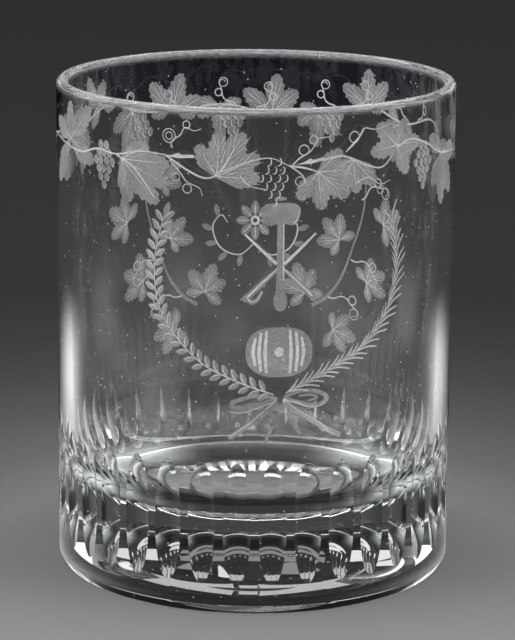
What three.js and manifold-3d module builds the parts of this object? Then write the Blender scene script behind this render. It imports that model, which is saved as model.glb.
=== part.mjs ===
// A cylindrical cut-glass beaker: one piece of blown glass with a thick base,
// a rounded rim, a ground underside and a belt of hollow flutes above the foot.
// Millimetres, +Z up. It stands on z = 0 with its axis on Z.

import * as THREE from 'three';
import { mergeVertices } from 'three/addons/utils/BufferGeometryUtils.js';
import Module from 'manifold-3d';

// The blank, as it leaves the glasshouse.
const OUTER_DIAMETER = 90;
const HEIGHT = 112;
const RIM_WALL = 2.8;
const LOWER_WALL = 3.3;
const BASE_THICKNESS = 18.3;
const INNER_FILLET = 14.5;

// The underside: a ground ring to stand on, a shallow push-up inside it, and
// the flat polished disc where the pontil mark was ground away.
const FOOT_BEVEL_HEIGHT = 2.4;
const FOOT_BEVEL_WIDTH = 1.4;
const PUSH_UP_DIAMETER = 54;
const PUSH_UP_DEPTH = 0.5;
const PONTIL_DIAMETER = 34;

// The flutes, cut with a round-edged stone wheel.
const FLUTE_COUNT = 36;
const LAND_WIDTH = 1.8;
const FLUTE_DEPTH = 0.9;
const FLUTE_TOP = 34.5;
const FLUTE_BOTTOM = 7;
const WHEEL_RADIUS = 75;
const FIRST_FLUTE_ANGLE = -4.5;

// How finely the round stretches are faceted.
const TURN_STEPS = 108;
const RIM_STEPS = 8;
const FILLET_STEPS = 9;
const PUSH_UP_STEPS = 3;
const FLUTE_ARC_STEPS = 6;
const RUN_OUT_STEPS = 5;

// How far a cutter reaches past the glass, so that no faces coincide.
const CUTTER_OVERRUN = 0.4;

const OUTER_RADIUS = OUTER_DIAMETER / 2;

// Points on an arc in the radius and height plane, from one angle to another.
function arc(centreRadius, centreHeight, radius, fromAngle, toAngle, steps) {
  const points = [];
  for (let step = 0; step <= steps; step += 1) {
    const angle = fromAngle + ((toAngle - fromAngle) * step) / steps;
    const x = centreRadius + radius * Math.cos(angle);
    const y = centreHeight + radius * Math.sin(angle);
    points.push(new THREE.Vector2(x, y));
  }
  return points;
}

// The underside, from the axis out to the ring: the polished disc, then the
// push-up, which curves down until it is level with the ring.
function undersideProfile() {
  const width = (PUSH_UP_DIAMETER - PONTIL_DIAMETER) / 2;
  const radius = (width * width + PUSH_UP_DEPTH * PUSH_UP_DEPTH) / (2 * PUSH_UP_DEPTH);
  const slope = Math.asin(width / radius);
  const top = -Math.PI / 2;
  return [
    new THREE.Vector2(0, PUSH_UP_DEPTH),
    ...arc(PUSH_UP_DIAMETER / 2, radius, radius, top - slope, top, PUSH_UP_STEPS),
  ];
}

// Half of the blank's section, from the axis under the base, out and up over
// the rim, and back down inside to the axis.
function blankProfile() {
  const rimRadius = RIM_WALL / 2;
  const innerRadius = OUTER_RADIUS - LOWER_WALL;
  const filletCentre = innerRadius - INNER_FILLET;
  const filletHeight = BASE_THICKNESS + INNER_FILLET;
  return [
    ...undersideProfile(),
    new THREE.Vector2(OUTER_RADIUS - FOOT_BEVEL_WIDTH, 0),
    new THREE.Vector2(OUTER_RADIUS, FOOT_BEVEL_HEIGHT),
    ...arc(OUTER_RADIUS - rimRadius, HEIGHT - rimRadius, rimRadius, 0, Math.PI, RIM_STEPS),
    ...arc(filletCentre, filletHeight, INNER_FILLET, 0, -Math.PI / 2, FILLET_STEPS),
    new THREE.Vector2(0, BASE_THICKNESS),
  ];
}

// The blank as a solid of revolution.
function blankGeometry() {
  const geometry = new THREE.LatheGeometry(blankProfile(), TURN_STEPS);
  return geometry.rotateX(Math.PI / 2);
}

// One flute's section: the wheel's round edge, from one side to the other, as
// offsets across the flute and outward from its deepest line. The edge meets
// the glass at the land on each side and goes on past it.
function fluteSection() {
  const pitch = (2 * Math.PI) / FLUTE_COUNT;
  const halfAngle = (pitch - LAND_WIDTH / OUTER_RADIUS) / 2;
  const halfWidth = OUTER_RADIUS * Math.sin(halfAngle);
  const rise = OUTER_RADIUS * Math.cos(halfAngle) - (OUTER_RADIUS - FLUTE_DEPTH);
  const edgeRadius = (halfWidth * halfWidth + rise * rise) / (2 * rise);
  const meetAngle = Math.asin(halfWidth / edgeRadius);
  const endAngle = Math.acos(1 - (FLUTE_DEPTH + CUTTER_OVERRUN) / edgeRadius);
  const angles = [-endAngle];
  for (let step = 0; step <= FLUTE_ARC_STEPS; step += 1) {
    angles.push(meetAngle * ((2 * step) / FLUTE_ARC_STEPS - 1));
  }
  angles.push(endAngle);
  return angles.map((angle) => ({
    across: edgeRadius * Math.sin(angle),
    outward: edgeRadius * (1 - Math.cos(angle)),
  }));
}

// Where the wheel's edge stands along one flute: into the glass above the foot,
// straight up, and out again, entering and leaving on the wheel's own curve.
function fluteStations() {
  const runOut = Math.sqrt(2 * WHEEL_RADIUS * FLUTE_DEPTH - FLUTE_DEPTH * FLUTE_DEPTH);
  const lift = FLUTE_DEPTH + CUTTER_OVERRUN;
  const endAngle = Math.acos(1 - lift / WHEEL_RADIUS);
  const stations = [];
  for (let step = -RUN_OUT_STEPS; step <= RUN_OUT_STEPS; step += 1) {
    const angle = (endAngle * step) / RUN_OUT_STEPS;
    const rise = WHEEL_RADIUS * Math.sin(angle);
    const depth = FLUTE_DEPTH - WHEEL_RADIUS * (1 - Math.cos(angle));
    if (step <= 0) {
      stations.push({ height: FLUTE_BOTTOM + runOut + rise, depth });
    }
    if (step >= 0) {
      stations.push({ height: FLUTE_TOP - runOut + rise, depth });
    }
  }
  return stations;
}

// One flute's cutter, lofted through its stations, on the +X side of the glass.
function fluteCutterGeometry() {
  const section = fluteSection();
  const stations = fluteStations();
  const ring = section.length;
  const positions = [];
  for (const { height, depth } of stations) {
    for (const { across, outward } of section) {
      positions.push(OUTER_RADIUS - depth + outward, across, height);
    }
  }
  const indices = [];
  for (let level = 0; level + 1 < stations.length; level += 1) {
    for (let side = 0; side < ring; side += 1) {
      const a = level * ring + side;
      const b = level * ring + ((side + 1) % ring);
      indices.push(a, a + ring, b, b, a + ring, b + ring);
    }
  }
  const last = (stations.length - 1) * ring;
  for (let side = 1; side + 1 < ring; side += 1) {
    indices.push(0, side, side + 1);
    indices.push(last, last + side + 1, last + side);
  }
  const geometry = new THREE.BufferGeometry();
  geometry.setAttribute('position', new THREE.Float32BufferAttribute(positions, 3));
  geometry.setIndex(indices);
  return geometry;
}

const wasm = await Module();
wasm.setup();

// A closed three.js geometry as a solid for cutting.
function toSolid(geometry) {
  const bare = geometry.clone();
  bare.deleteAttribute('normal');
  bare.deleteAttribute('uv');
  const welded = mergeVertices(bare, 1e-5);
  const index = welded.index.array;
  const triangles = [];
  for (let i = 0; i < index.length; i += 3) {
    const [a, b, c] = [index[i], index[i + 1], index[i + 2]];
    if (a !== b && b !== c && c !== a) {
      triangles.push(a, b, c);
    }
  }
  const mesh = new wasm.Mesh({
    numProp: 3,
    vertProperties: Float32Array.from(welded.attributes.position.array),
    triVerts: Uint32Array.from(triangles),
  });
  return new wasm.Manifold(mesh);
}

// A cut solid back as a three.js geometry.
function toGeometry(solid) {
  const mesh = solid.getMesh();
  const geometry = new THREE.BufferGeometry();
  geometry.setAttribute('position', new THREE.BufferAttribute(mesh.vertProperties, 3));
  geometry.setIndex(new THREE.BufferAttribute(mesh.triVerts, 1));
  geometry.computeVertexNormals();
  return geometry;
}

// The beaker: the blank with its belt of flutes cut away.
function beakerGeometry() {
  const cutter = fluteCutterGeometry();
  const firstTurn = THREE.MathUtils.degToRad(FIRST_FLUTE_ANGLE);
  let solid = toSolid(blankGeometry());
  for (let flute = 0; flute < FLUTE_COUNT; flute += 1) {
    const turn = firstTurn + (2 * Math.PI * flute) / FLUTE_COUNT;
    solid = solid.subtract(toSolid(cutter.clone().rotateZ(turn)));
  }
  return toGeometry(solid);
}

const clearGlass = new THREE.MeshStandardMaterial({
  name: 'clear_glass',
  color: 0xdce3e2,
  roughness: 0.04,
  metalness: 0,
  transparent: true,
  opacity: 0.35,
});

const beaker = new THREE.Mesh(beakerGeometry(), clearGlass);
beaker.name = 'beaker';

const part = new THREE.Group();
part.add(beaker);

export default part;
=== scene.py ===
"""Dresses a clear cylindrical beaker of cut and wheel-engraved glass.

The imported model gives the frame. The glass is made again here as one fine closed
mesh of the same sizes: a spun base and inside, a belt of hollow flutes with
elliptical ends, and a wall that carries shallow engraving. The glass and the
engraving are sized in millimetres. Meshes, finishes and the studio are in metres.
"""

import logging
import math
import random
from collections.abc import Callable
from dataclasses import dataclass
from enum import Enum

import bmesh
import bpy
from mathutils import Matrix, Vector
from mathutils.geometry import delaunay_2d_cdt


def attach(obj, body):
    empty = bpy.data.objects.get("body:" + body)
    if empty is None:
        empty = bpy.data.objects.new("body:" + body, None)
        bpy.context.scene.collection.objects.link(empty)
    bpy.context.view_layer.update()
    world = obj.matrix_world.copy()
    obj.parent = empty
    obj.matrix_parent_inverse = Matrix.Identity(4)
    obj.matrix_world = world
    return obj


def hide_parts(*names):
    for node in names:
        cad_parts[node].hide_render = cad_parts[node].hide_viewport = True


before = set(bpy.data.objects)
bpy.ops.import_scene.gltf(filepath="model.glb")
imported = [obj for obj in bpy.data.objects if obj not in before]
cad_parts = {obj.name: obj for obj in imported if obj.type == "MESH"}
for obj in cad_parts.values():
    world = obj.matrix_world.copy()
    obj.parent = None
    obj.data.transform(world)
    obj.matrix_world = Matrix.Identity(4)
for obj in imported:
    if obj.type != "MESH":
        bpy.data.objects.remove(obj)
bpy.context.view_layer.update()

log = logging.getLogger("beaker")

MM = 0.001
TAU = 2 * math.pi
# A difference between two heights that counts as none, in millimetres.
HAIR = 1e-6

Spot = tuple[float, float]
Triple = tuple[float, float, float]


class Zone(Enum):
    """The kinds of surface on the glass."""

    WALL = 0
    FLUTE = 1
    BLANK = 2
    MATT = 3
    CUT = 4
    EDGE = 5


def math_method(operation: str, swapped: bool = False) -> "Callable[[Value, Value | float], Value]":
    """Return a method that adds one Math node for two terms.

    Args:
        operation: The Math node's operation.
        swapped: Whether the value itself is the second term.

    Returns:
        The method.
    """

    def method(first: "Value", second: "Value | float") -> "Value":
        """Return the node's result."""
        terms = (second, first) if swapped else (first, second)
        return first.nodes.add("ShaderNodeMath", {"operation": operation}, dict(enumerate(terms)))

    return method


class Value:
    """One shader socket, with arithmetic that adds Math nodes."""

    def __init__(self, nodes: "Nodes", socket: bpy.types.NodeSocket) -> None:
        """Keep the socket and the builder of the tree that it is in."""
        self.nodes = nodes
        self.socket = socket

    __add__ = math_method("ADD")
    __radd__ = math_method("ADD", swapped=True)
    __sub__ = math_method("SUBTRACT")
    __rsub__ = math_method("SUBTRACT", swapped=True)
    __mul__ = math_method("MULTIPLY")
    __truediv__ = math_method("DIVIDE")
    __pow__ = math_method("POWER")
    above = math_method("GREATER_THAN")
    least = math_method("MINIMUM")
    most = math_method("MAXIMUM")


class Nodes:
    """Builds one node tree."""

    def __init__(self, owner: "bpy.types.Material | bpy.types.World") -> None:
        """Empty the tree of a material or a world."""
        owner.use_nodes = True
        self.tree = owner.node_tree
        self.tree.nodes.clear()

    def add(
        self,
        kind: str,
        settings: "dict[str, object] | None" = None,
        inputs: "dict[str | int, object] | None" = None,
        out: "str | int" = 0,
    ) -> Value:
        """Add one node of any type.

        Args:
            kind: The node's type.
            settings: Its settings, a ramp's stops among them, which are set first.
            inputs: The values or links of its sockets, by name or number.
            out: The output to return, by name or number.

        Returns:
            The output, for the next node.
        """
        node = self.tree.nodes.new(kind)
        for name, value in (settings or {}).items():
            if name == "stops":
                self._set_stops(node.color_ramp, value)
            else:
                setattr(node, name, value)
        for name, value in (inputs or {}).items():
            if isinstance(value, Value):
                self.tree.links.new(value.socket, node.inputs[name])
            else:
                node.inputs[name].default_value = value
        return Value(self, node.outputs[out]) if node.outputs else Value(self, None)

    def soft(self, value: Value, low: float, high: float) -> Value:
        """Return a soft step, from 0 at one level of a value to 1 at another."""
        levels = {"Value": value, "From Min": low, "From Max": high}
        return self.add("ShaderNodeMapRange", {"interpolation_type": "SMOOTHSTEP"}, levels)

    def fade(self, value: Value, low: float, high: float) -> Value:
        """Return a soft step, from 1 at one level of a value to 0 at another."""
        return 1.0 - self.soft(value, low, high)

    def axis(self, place: Value, name: str) -> Value:
        """Return one coordinate of a place."""
        return self.add("ShaderNodeSeparateXYZ", None, {0: place}, out=name)

    def noise(self, place: Value, scale: float, detail: float) -> Value:
        """Return a noise pattern."""
        return self.add("ShaderNodeTexNoise", None, {"Vector": place, "Scale": scale, "Detail": detail})

    def mix_colour(self, share: object, first: object, second: object, blend: str = "MIX") -> Value:
        """Return two colours mixed, or blended in another way."""
        settings = {"data_type": "RGBA", "blend_type": blend}
        return self.add("ShaderNodeMix", settings, {0: share, 6: first, 7: second}, out=2)

    def mix_shader(self, share: object, first: Value, second: Value) -> Value:
        """Return two shaders mixed."""
        return self.add("ShaderNodeMixShader", None, {0: share, 1: first, 2: second})

    @staticmethod
    def _set_stops(ramp: bpy.types.ColorRamp, stops: list[Spot]) -> None:
        """Set a ramp's stops from places and grey levels."""
        while len(ramp.elements) < len(stops):
            ramp.elements.new(0.5)
        for element, (place, grey) in zip(ramp.elements, stops):
            element.position = place
            element.color = grey_colour(grey)

    def output(self, shader: Value, kind: str = "ShaderNodeOutputMaterial") -> None:
        """Link a shader to the tree's output."""
        self.add(kind, None, {"Surface": shader})


def grey_colour(level: float) -> tuple[float, float, float, float]:
    """Return a grey as a colour."""
    return (level, level, level, 1)


def new_material(name: str) -> tuple[bpy.types.Material, Nodes]:
    """Make a material with an empty tree."""
    material = bpy.data.materials.new(name)
    return material, Nodes(material)


@dataclass(frozen=True)
class ClearGlass:
    """Colourless, fire-polished and wheel-polished glass, with the wear and dust on it."""

    tint: Triple = (0.968, 0.974, 0.972)
    index: float = 1.51
    waviness: float = 0.02
    wave_scale: float = 55.0
    shadow: Triple = (0.84, 0.86, 0.855)
    dust_grey: float = 0.8
    dust_roughness: float = 0.8
    haze: float = 0.035
    haze_everywhere: float = 0.004
    haze_scale: float = 70.0
    haze_detail: float = 5.0
    haze_clouds: Spot = (0.42, 0.72)
    haze_start: Spot = (0.033, 0.043)
    haze_end: Spot = (0.048, 0.072)
    rim_wear: float = 0.42
    rim_start: Spot = (0.1096, 0.1112)
    rim_scuffed: float = 0.7
    rim_even: float = 0.1
    scuffs: Spot = (0.3, 0.7)
    scuffs_across: float = 900.0
    scuffs_along: float = 5.0
    scuffs_scale: float = 5.0
    scuffs_detail: float = 4.0
    speck_scale: float = 330.0
    speck_radius: float = 0.058
    most_wear: float = 0.95

    def material(self) -> bpy.types.Material:
        """Return the material."""
        material, nodes = new_material("clear_glass")
        place = nodes.add("ShaderNodeTexCoord", out="Object")
        waves = nodes.noise(place, self.wave_scale, 1.0)
        bumps = {"Height": waves, "Strength": self.waviness, "Distance": MM}
        glass = nodes.add("ShaderNodeBsdfPrincipled", None, {
            "Base Color": (*self.tint, 1),
            "Roughness": 0.0,
            "IOR": self.index,
            "Transmission Weight": 1.0,
            "Normal": nodes.add("ShaderNodeBump", None, bumps),
        })
        matt = {"Base Color": grey_colour(self.dust_grey), "Roughness": self.dust_roughness}
        dust = nodes.add("ShaderNodeBsdfPrincipled", None, matt)
        worn = nodes.mix_shader(self._wear(nodes, place), glass, dust)
        shade = nodes.add("ShaderNodeBsdfTransparent", None, {"Color": (*self.shadow, 1)})
        in_shadow = nodes.add("ShaderNodeLightPath", out="Is Shadow Ray")
        nodes.output(nodes.mix_shader(in_shadow, worn, shade))
        return material

    def _wear(self, nodes: Nodes, place: Value) -> Value:
        """Return how far wear and dust cover the glass.

        Wear is most on the rim. Dust lies as a thin haze low in the bowl and as
        specks all over.
        """
        height = nodes.axis(place, "Z")
        low = nodes.soft(height, *self.haze_start) * nodes.fade(height, *self.haze_end)
        clouds = nodes.soft(nodes.noise(place, self.haze_scale, self.haze_detail), *self.haze_clouds)
        haze = clouds * (low * self.haze + self.haze_everywhere)
        scratches = nodes.noise(self._along_rim(nodes, place), self.scuffs_scale, self.scuffs_detail)
        scuffs = nodes.soft(scratches, *self.scuffs) * self.rim_scuffed + self.rim_even
        rim = nodes.soft(height, *self.rim_start) * scuffs * self.rim_wear
        cells = {"Vector": place, "Scale": self.speck_scale}
        far_off = nodes.add("ShaderNodeTexVoronoi", None, cells, out="Distance").above(self.speck_radius)
        return (haze + rim + (1.0 - far_off)).least(self.most_wear)

    def _along_rim(self, nodes: Nodes, place: Value) -> Value:
        """Return a place whose third axis runs round the glass, for scratches along the rim."""
        x, y, z = (nodes.axis(place, name) for name in "XYZ")
        turn = nodes.add("ShaderNodeMath", {"operation": "ARCTAN2"}, {0: y, 1: x})
        reach = (x * x + y * y) ** 0.5
        parts = {0: reach * self.scuffs_across, 1: z * self.scuffs_across, 2: turn * self.scuffs_along}
        return nodes.add("ShaderNodeCombineXYZ", None, parts)


@dataclass(frozen=True)
class GroundGlass:
    """Glass that the engraver's wheel has left matt, clear in part."""

    name: str
    grey: float
    cover: float
    roughness: float = 0.55
    index: float = 1.51
    passing: float = 0.4
    clear: Triple = (0.95, 0.97, 0.97)
    grain: float = 0.5
    grain_scale: float = 1800.0
    patches: float = 0.35
    patch_scale: float = 160.0

    def material(self) -> bpy.types.Material:
        """Return the material."""
        material, nodes = new_material(self.name)
        place = nodes.add("ShaderNodeTexCoord", out="Object")
        grain = nodes.noise(place, self.grain_scale, 2.0)
        patches = nodes.noise(place, self.patch_scale, 1.0)
        tone = (grain - 0.5) * self.grain + (patches - 0.5) * self.patches + 1.0
        grey = nodes.mix_colour(1.0, grey_colour(self.grey), tone, "MULTIPLY")
        finish = {"Base Color": grey, "Roughness": self.roughness, "IOR": self.index}
        matt = nodes.add("ShaderNodeBsdfPrincipled", None, finish)
        glow = nodes.add("ShaderNodeBsdfTranslucent", None, {"Color": grey})
        both = nodes.mix_shader(self.passing, matt, glow)
        clear = nodes.add("ShaderNodeBsdfTransparent", None, {"Color": (*self.clear, 1)})
        nodes.output(nodes.mix_shader((tone * self.cover).least(1.0), clear, both))
        return material


@dataclass(frozen=True)
class Mark:
    """One closed shape of the engraving on the wall unrolled flat."""

    outline: tuple[Spot, ...]
    zone: Zone


class MarkFinder:
    """Finds the marks that cover a spot of the wall."""

    def __init__(self, marks: list[Mark], width: float = 1.5) -> None:
        """Sort the marks into upright strips of the wall.

        Args:
            marks: The engraving.
            width: The width of a strip.
        """
        self.width = width
        self.strips: dict[int, list[tuple[float, float, float, float, Mark]]] = {}
        for mark in marks:
            us = [u for u, _ in mark.outline]
            zs = [z for _, z in mark.outline]
            reach = (min(us), max(us), min(zs), max(zs), mark)
            for strip in range(math.floor(reach[0] / width), math.floor(reach[1] / width) + 1):
                self.strips.setdefault(strip, []).append(reach)

    @staticmethod
    def _inside(outline: tuple[Spot, ...], spot: Vector) -> bool:
        """Return whether an outline winds round a spot."""
        winding = 0
        last_u, last_z = outline[-1]
        for u, z in outline:
            if (last_z <= spot.y) != (z <= spot.y):
                cross = last_u + (spot.y - last_z) / (z - last_z) * (u - last_u)
                if cross > spot.x:
                    winding += 1 if z > last_z else -1
            last_u, last_z = u, z
        return winding != 0

    def zone_at(self, spot: Vector) -> Zone:
        """Return the deepest kind of surface at a spot."""
        found = Zone.WALL
        for low_u, high_u, low_z, high_z, mark in self.strips.get(math.floor(spot.x / self.width), []):
            if low_u < spot.x < high_u and low_z < spot.y < high_z and mark.zone is not found:
                if self._inside(mark.outline, spot):
                    if mark.zone is Zone.CUT:
                        return Zone.CUT
                    found = mark.zone
        return found


def smooth_line(spots: list[Spot | Vector], steps: int = 5) -> list[Vector]:
    """Return a smooth line through spots.

    Args:
        spots: The spots, as distance along the wall and height.
        steps: How many steps lie between two spots.

    Returns:
        The line's points.
    """
    known = [Vector(spot) for spot in spots]
    known = [known[0] * 2 - known[1], *known, known[-1] * 2 - known[-2]]
    line = []
    for a, b, c, d in zip(known, known[1:], known[2:], known[3:]):
        for step in range(steps):
            t = step / steps
            place = b * 2 + (c - a) * t + (a * 2 - b * 5 + c * 4 - d) * t**2
            line.append(0.5 * (place + (b * 3 - a - c * 3 + d) * t**3))
    line.append(known[-2])
    return line


def left_of(direction: Vector) -> Vector:
    """Return a direction turned a quarter to the left."""
    return Vector((-direction.y, direction.x))


def across(line: list[Vector], index: int) -> Vector:
    """Return the unit direction square to a line, to its left."""
    return left_of(line[min(index + 1, len(line) - 1)] - line[max(index - 1, 0)]).normalized()


def at_share(line: list[Vector], share: float) -> tuple[Vector, Vector]:
    """Return the place and the direction at a share of a line's length."""
    lengths = [(b - a).length for a, b in zip(line, line[1:])]
    left = share * sum(lengths)
    for index, length in enumerate(lengths):
        if left <= length or index == len(lengths) - 1:
            ahead = (line[index + 1] - line[index]).normalized()
            return line[index] + ahead * min(left, length), ahead
        left -= length
    return line[-1], (line[-1] - line[-2]).normalized()


def turned(direction: Vector, degrees: float) -> Vector:
    """Return a direction turned to the left by some degrees."""
    angle = math.radians(degrees)
    c, s = math.cos(angle), math.sin(angle)
    return Vector((direction.x * c - direction.y * s, direction.x * s + direction.y * c))


class Engraver:
    """Holds the marks that the copper wheel makes, and the strokes that they need."""

    MOST_TURN = 1.6
    RING_STEPS = 12
    OVAL_STEPS = 12
    OVAL_TAPER = 0.12

    def __init__(self) -> None:
        """Start with a bare wall."""
        self.marks: list[Mark] = []

    def area(self, outline: list[Vector], zone: Zone = Zone.MATT) -> None:
        """Grind one closed area."""
        turn = sum(a.x * b.y - b.x * a.y for a, b in zip(outline, [*outline[1:], outline[0]]))
        ordered = outline if turn > 0 else outline[::-1]
        self.marks.append(Mark(tuple((p.x, p.y) for p in ordered), zone))

    def stroke(self, line: list[Vector], widths: Triple, zone: Zone = Zone.CUT) -> None:
        """Draw the wheel along a line, in runs that don't turn back on themselves.

        Args:
            line: The line's points.
            widths: The stroke's half widths at its start, middle and end.
            zone: How deep and bright it is.
        """
        count = len(line) - 1
        halves = []
        for index in range(count + 1):
            share = index / count
            if share < 0.5:
                halves.append(widths[0] + (widths[1] - widths[0]) * share * 2)
            else:
                halves.append(widths[1] + (widths[2] - widths[1]) * (share * 2 - 1))
        start = 0
        turning = 0.0
        for index in range(1, count + 1):
            if index < count:
                before = line[index] - line[index - 1]
                after = line[index + 1] - line[index]
                turning += abs(before.angle_signed(after, 0.0))
            if index == count or turning > self.MOST_TURN:
                run = range(start, index + 1)
                left = [line[i] + across(line, i) * halves[i] for i in run]
                right = [line[i] - across(line, i) * halves[i] for i in reversed(run)]
                self.area(left + right, zone)
                start = index
                turning = 0.0

    def curve(
        self, spots: list[Spot | Vector], widths: Triple, zone: Zone = Zone.CUT, steps: int = 5
    ) -> list[Vector]:
        """Draw the wheel along a smooth line through spots.

        Args:
            spots: The spots.
            widths: The stroke's half widths at its start, middle and end.
            zone: How deep and bright it is.
            steps: How many steps lie between two spots.

        Returns:
            The line's points.
        """
        line = smooth_line(spots, steps)
        self.stroke(line, widths, zone)
        return line

    def shine(self, line: list[Vector], shift: Spot, widths: Triple) -> None:
        """Cut a bright stroke beside a line."""
        self.stroke([place + Vector(shift) for place in line], widths)

    def ring(self, centre: Vector, radius: float, half: float, zone: Zone = Zone.CUT) -> None:
        """Draw the wheel round a small ring."""
        line = []
        for step in range(self.RING_STEPS + 1):
            angle = TAU * step / self.RING_STEPS
            line.append(centre + Vector((math.cos(angle), math.sin(angle))) * radius)
        self.stroke(line, (half, half, half), zone)

    def oval(self, centre: Vector, ahead: Vector, size: Spot, zone: Zone = Zone.MATT) -> None:
        """Grind a pointed oval.

        Args:
            centre: Its middle.
            ahead: The direction of its long axis.
            size: Its length and width.
            zone: How deep and bright it is.
        """
        points = []
        for step in range(self.OVAL_STEPS):
            angle = TAU * step / self.OVAL_STEPS
            taper = 1 - self.OVAL_TAPER * math.cos(2 * angle)
            along = ahead * math.cos(angle) * size[0] / 2
            points.append(centre + along + left_of(ahead) * math.sin(angle) * size[1] / 2 * taper)
        self.area(points, zone)


@dataclass
class VineLeaf:
    """A vine leaf of deep lobes, each with teeth at its end.

    Half a lobe's outline is given in shares of the lobe's length, ahead and to the side.
    """

    root: Spot
    tips: list[Spot]
    veins: int = 2
    half_lobe: tuple[Spot, ...] = (
        (0.0, 0.04), (0.22, 0.14), (0.45, 0.26), (0.60, 0.29), (0.64, 0.23), (0.76, 0.26),
        (0.79, 0.18), (0.92, 0.17), (0.94, 0.10), (1.0, 0.07),
    )
    long_lobe: float = 7.5
    rib_reach: Spot = (0.45, 0.86)
    rib: Triple = (0.15, 0.11, 0.05)
    vein_start: float = 0.20
    vein_spacing: float = 0.22
    vein_shape: tuple[Spot, ...] = ((0.0, 0.03), (0.20, 0.10), (0.36, 0.14))
    vein: Triple = (0.05, 0.07, 0.04)

    def carve(self, wheel: Engraver) -> None:
        """Grind the lobes, then cut the veins."""
        root = Vector(self.root)
        for tip in self.tips:
            reach = Vector(tip) - root
            side = left_of(reach) * min(1.0, self.long_lobe / reach.length) ** 0.5
            left = [root + reach * along + side * wide for along, wide in self.half_lobe]
            right = [root + reach * along - side * wide for along, wide in reversed(self.half_lobe)]
            wheel.area(left + right)
        for tip in self.tips:
            reach = Vector(tip) - root
            wheel.stroke([root, *(root + reach * along for along in self.rib_reach)], self.rib)
            for vein in range(self.veins):
                start = self.vein_start + self.vein_spacing * vein
                for hand in (-1, 1):
                    line = []
                    for along, wide in self.vein_shape:
                        line.append(root + reach * (start + along) + left_of(reach) * hand * wide)
                    wheel.stroke(line, self.vein)


@dataclass(frozen=True)
class LeafPattern:
    """A vine leaf of a general shape: each lobe's turn in degrees, and its length as a share."""

    lobes: tuple[Spot, ...] = ((-112, 0.66), (-52, 0.92), (0, 1.0), (50, 0.9), (108, 0.68))
    uneven_turn: float = 6
    uneven_length: Spot = (0.92, 1.08)

    def leaf(self, root: Vector, ahead: Vector, size: float, chance: random.Random) -> VineLeaf:
        """Return one leaf.

        Args:
            root: Where its stalk meets it.
            ahead: The direction of its middle lobe.
            size: The length of its middle lobe.
            chance: The seeded source of its unevenness.

        Returns:
            The leaf.
        """
        tips = []
        for degrees, length in self.lobes:
            turn = degrees + chance.uniform(-self.uneven_turn, self.uneven_turn)
            reach = turned(ahead, turn) * size * length * chance.uniform(*self.uneven_length)
            tips.append(tuple(root + reach))
        return VineLeaf(tuple(root), tips)


@dataclass(frozen=True)
class Tendril:
    """A tendril with two curls: runs of even steps, each with its own bend."""

    size: float
    runs: tuple[tuple[float, int], ...] = (
        (0.3, 4), (-0.35, 5), (0.85, 9), (0.1, 3), (-0.7, 10), (-0.95, 5),
    )
    bend: float = 0.85
    step: float = 0.115
    widths: Triple = (0.17, 0.13, 0.08)

    def carve(self, wheel: Engraver, start: Vector, ahead: Vector, hand: int) -> None:
        """Draw the tendril.

        Args:
            wheel: The engraver's wheel.
            start: Where it leaves the stem.
            ahead: The direction in which it leaves.
            hand: 1 to curl to the left, -1 to the right.
        """
        line = []
        heading = math.atan2(ahead.y, ahead.x)
        place = start.copy()
        for bend, steps in self.runs:
            for _ in range(steps):
                line.append(place.copy())
                heading += hand * bend * self.bend
                place += Vector((math.cos(heading), math.sin(heading))) * self.size * self.step
        wheel.stroke(line, self.widths)


@dataclass(frozen=True)
class GrapeBunch:
    """A bunch of grapes that hangs down, each berry with a bright arc round its left side."""

    length: float
    rows: tuple[int, ...] = (2, 3, 4, 3, 2, 1)
    spacing: float = 1.75
    stalk: float = 1.2
    unevenness: float = 0.2
    berry: Spot = (2.0, 1.5)
    arc_half: Spot = (0.62, 0.88)
    arc_start: float = -110
    arc_step: float = 34
    arc_points: int = 6
    arc_widths: Triple = (0.08, 0.17, 0.08)

    def carve(self, wheel: Engraver, top: Vector, chance: random.Random, matt: bool = True) -> None:
        """Engrave the bunch.

        Args:
            wheel: The engraver's wheel.
            top: Where it hangs.
            chance: The seeded source of its unevenness.
            matt: Whether the berries are ground matt or left clear in their outlines.
        """
        for row, count in enumerate(self.rows):
            for berry in range(count):
                shift = (berry - (count - 1) / 2) * self.spacing
                drop = -self.stalk - row * self.length / len(self.rows)
                beside = shift + chance.uniform(-self.unevenness, self.unevenness)
                place = top + Vector((beside, drop))
                if matt:
                    wheel.oval(place, Vector((0, 1)), self.berry)
                arc = []
                for step in range(self.arc_points):
                    angle = math.radians(self.arc_start + self.arc_step * step)
                    wide, high = self.arc_half
                    arc.append(place + Vector((math.cos(angle) * wide, math.sin(angle) * high)))
                wheel.stroke(arc, self.arc_widths)


def barbed_twig(wheel: Engraver, start: Vector, end: Vector) -> None:
    """Cut a short thick twig with a knot along it."""
    side = across([start, end], 0)
    outline = ((0, 0), (0.3, 0.25), (0.5, 0.7), (0.6, 0.3), (1, 0.35), (1, -0.3), (0.5, -0.45))
    wheel.area([start.lerp(end, along) + side * wide for along, wide in outline], Zone.CUT)


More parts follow.
